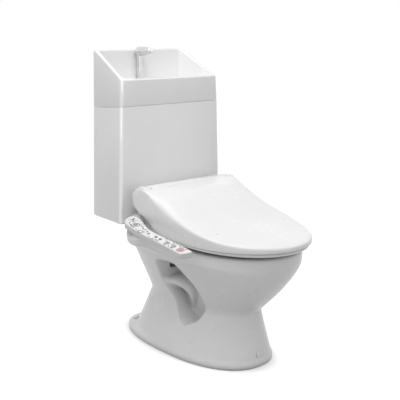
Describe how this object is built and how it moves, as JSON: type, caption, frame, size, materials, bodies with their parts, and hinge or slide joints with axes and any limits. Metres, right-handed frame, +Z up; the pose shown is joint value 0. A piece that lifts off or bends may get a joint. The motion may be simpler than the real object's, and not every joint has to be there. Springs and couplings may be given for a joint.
{
  "type": "floor-standing toilet",
  "caption": "Floor-standing toilet with an open-sided china pan, a cistern with a hand basin and spout on top, and a bidet seat with a side control panel.",
  "frame": {"origin": "centre of the drain outlet in the plane of the floor", "axes": "+Z up; -Y to the front of the toilet, +Y to the wall; +X to the right of a viewer who faces it"},
  "size_m": [0.4953, 0.713, 0.9339],
  "materials": {
    "china": "glazed white china",
    "gloss_plastic": "smooth white",
    "panel_plastic": "satin white",
    "inner_plastic": "moulded off-white",
    "float_plastic": "moulded dark grey",
    "black_rubber": "matte",
    "grey_rubber": "matte",
    "chrome": "polished",
    "brass": "machined",
    "nozzle_plastic": "smooth",
    "lens": "clear dark lens",
    "button_grey": "satin",
    "button_dark": "satin",
    "button_red": "satin"
  },
  "bodies": {
    "toilet": {"bowl_pan": "china", "outlet_seal": "black_rubber", "floor_screws": "brass", "floor_screw_caps": "gloss_plastic", "cistern_tank": "china", "tank_gasket": "black_rubber", "tank_bolts": "brass", "tank_washers": "black_rubber", "tank_wing_nuts": "inner_plastic", "flush_valve_body": "inner_plastic", "flush_valve_nut": "inner_plastic", "overflow_pipe": "inner_plastic", "flapper_pin": "brass", "fill_valve_column": "inner_plastic", "fill_valve_head": "inner_plastic", "inlet_nut": "inner_plastic", "inlet_washer": "black_rubber", "lever_bush": "chrome", "lever_nut": "inner_plastic", "spout_hose": "grey_rubber", "seat_plate": "inner_plastic", "seat_bolts": "inner_plastic", "seat_wing_nuts": "inner_plastic", "seat_body": "gloss_plastic", "top_strip": "gloss_plastic", "hinge_pins": "chrome", "hose_inlet": "inner_plastic", "cord_gland": "gloss_plastic", "panel_housing": "gloss_plastic", "panel_face": "panel_plastic", "status_lens": "lens"},
    "flap": {"flapper": "black_rubber"},
    "float": {"float_cup": "float_plastic"},
    "lever": {"flush_lever": "chrome", "lever_arm": "brass"},
    "chain": {"pull_chain": "chrome"},
    "basin": {"basin_lid": "china", "basin_strainer": "chrome", "strainer_nut": "inner_plastic", "hand_spout": "chrome", "spout_gasket": "black_rubber", "spout_nut": "brass"},
    "nozzle": {"spray_nozzle": "nozzle_plastic", "nozzle_tip": "chrome"},
    "seat": {"toilet_seat": "gloss_plastic", "seat_buffers": "grey_rubber"},
    "lid": {"toilet_lid": "gloss_plastic", "lid_buffers": "grey_rubber"},
    "heat_key": {"heat_button": "button_grey"},
    "temperature_key": {"temperature_button": "button_grey"},
    "pressure_down_key": {"pressure_down_button": "button_dark"},
    "pressure_up_key": {"pressure_up_button": "button_dark"},
    "front_wash_key": {"front_wash_button": "button_grey"},
    "rear_wash_key": {"rear_wash_button": "button_grey"},
    "stop_key": {"stop_button": "button_red"}
  },
  "joints": [
    {"name": "lid_hinge", "type": "hinge", "parent": "toilet", "child": "lid", "pos_m": [0, -0.038, 0.498], "axis": [-1, 0, 0], "range_deg": [0, 104]},
    {"name": "seat_hinge", "type": "hinge", "parent": "toilet", "child": "seat", "pos_m": [0, -0.038, 0.498], "axis": [-1, 0, 0], "range_deg": [0, 96]},
    {"name": "lever_turn", "type": "hinge", "parent": "toilet", "child": "lever", "pos_m": [0.1, 0.106, 0.712], "axis": [-1, 0, 0], "range_deg": [0, 50]},
    {"name": "chain_pull", "type": "slide", "parent": "toilet", "child": "chain", "axis": [0, 0, 1], "range_m": [0, 0.034]},
    {"name": "flap_hinge", "type": "hinge", "parent": "toilet", "child": "flap", "pos_m": [0, 0.123, 0.45], "axis": [-1, 0, 0], "range_deg": [0, 35.2]},
    {"name": "float_rise", "type": "slide", "parent": "toilet", "child": "float", "axis": [0, 0, 1], "range_m": [0, 0.06]},
    {"name": "nozzle_slide", "type": "slide", "parent": "toilet", "child": "nozzle", "axis": [0, -0.8192, -0.5736], "range_m": [0, 0.06], "stiffness_N_per_m": 20, "springref_m": -0.02},
    {"name": "basin_lift", "type": "slide", "parent": "toilet", "child": "basin", "axis": [0, 0, 1], "range_m": [0, 0.25]},
    {"name": "heat_press", "type": "slide", "parent": "toilet", "child": "heat_key", "axis": [0.1177, 0.1097, -0.987], "range_m": [0, 0.0012], "stiffness_N_per_m": 400, "springref_m": -0.0005},
    {"name": "temperature_press", "type": "slide", "parent": "toilet", "child": "temperature_key", "axis": [0.1177, 0.1097, -0.987], "range_m": [0, 0.0012], "stiffness_N_per_m": 400, "springref_m": -0.0005},
    {"name": "pressure_down_press", "type": "slide", "parent": "toilet", "child": "pressure_down_key", "axis": [0.1177, 0.1097, -0.987], "range_m": [0, 0.0012], "stiffness_N_per_m": 400, "springref_m": -0.0005},
    {"name": "pressure_up_press", "type": "slide", "parent": "toilet", "child": "pressure_up_key", "axis": [0.1177, 0.1097, -0.987], "range_m": [0, 0.0012], "stiffness_N_per_m": 400, "springref_m": -0.0005},
    {"name": "front_wash_press", "type": "slide", "parent": "toilet", "child": "front_wash_key", "axis": [0.1177, 0.1097, -0.987], "range_m": [0, 0.0012], "stiffness_N_per_m": 400, "springref_m": -0.0005},
    {"name": "rear_wash_press", "type": "slide", "parent": "toilet", "child": "rear_wash_key", "axis": [0.1177, 0.1097, -0.987], "range_m": [0, 0.0012], "stiffness_N_per_m": 400, "springref_m": -0.0005},
    {"name": "stop_press", "type": "slide", "parent": "toilet", "child": "stop_key", "axis": [0.1177, 0.1097, -0.987], "range_m": [0, 0.0012], "stiffness_N_per_m": 400, "springref_m": -0.0005}
  ],
  "couplings": [
    {"joint": "seat_hinge", "follows": "lid_hinge", "ratio": 0.92},
    {"joint": "chain_pull", "follows": "lever_turn", "m_per_rad": 0.038732},
    {"joint": "flap_hinge", "follows": "lever_turn", "ratio": 0.7}
  ]
}
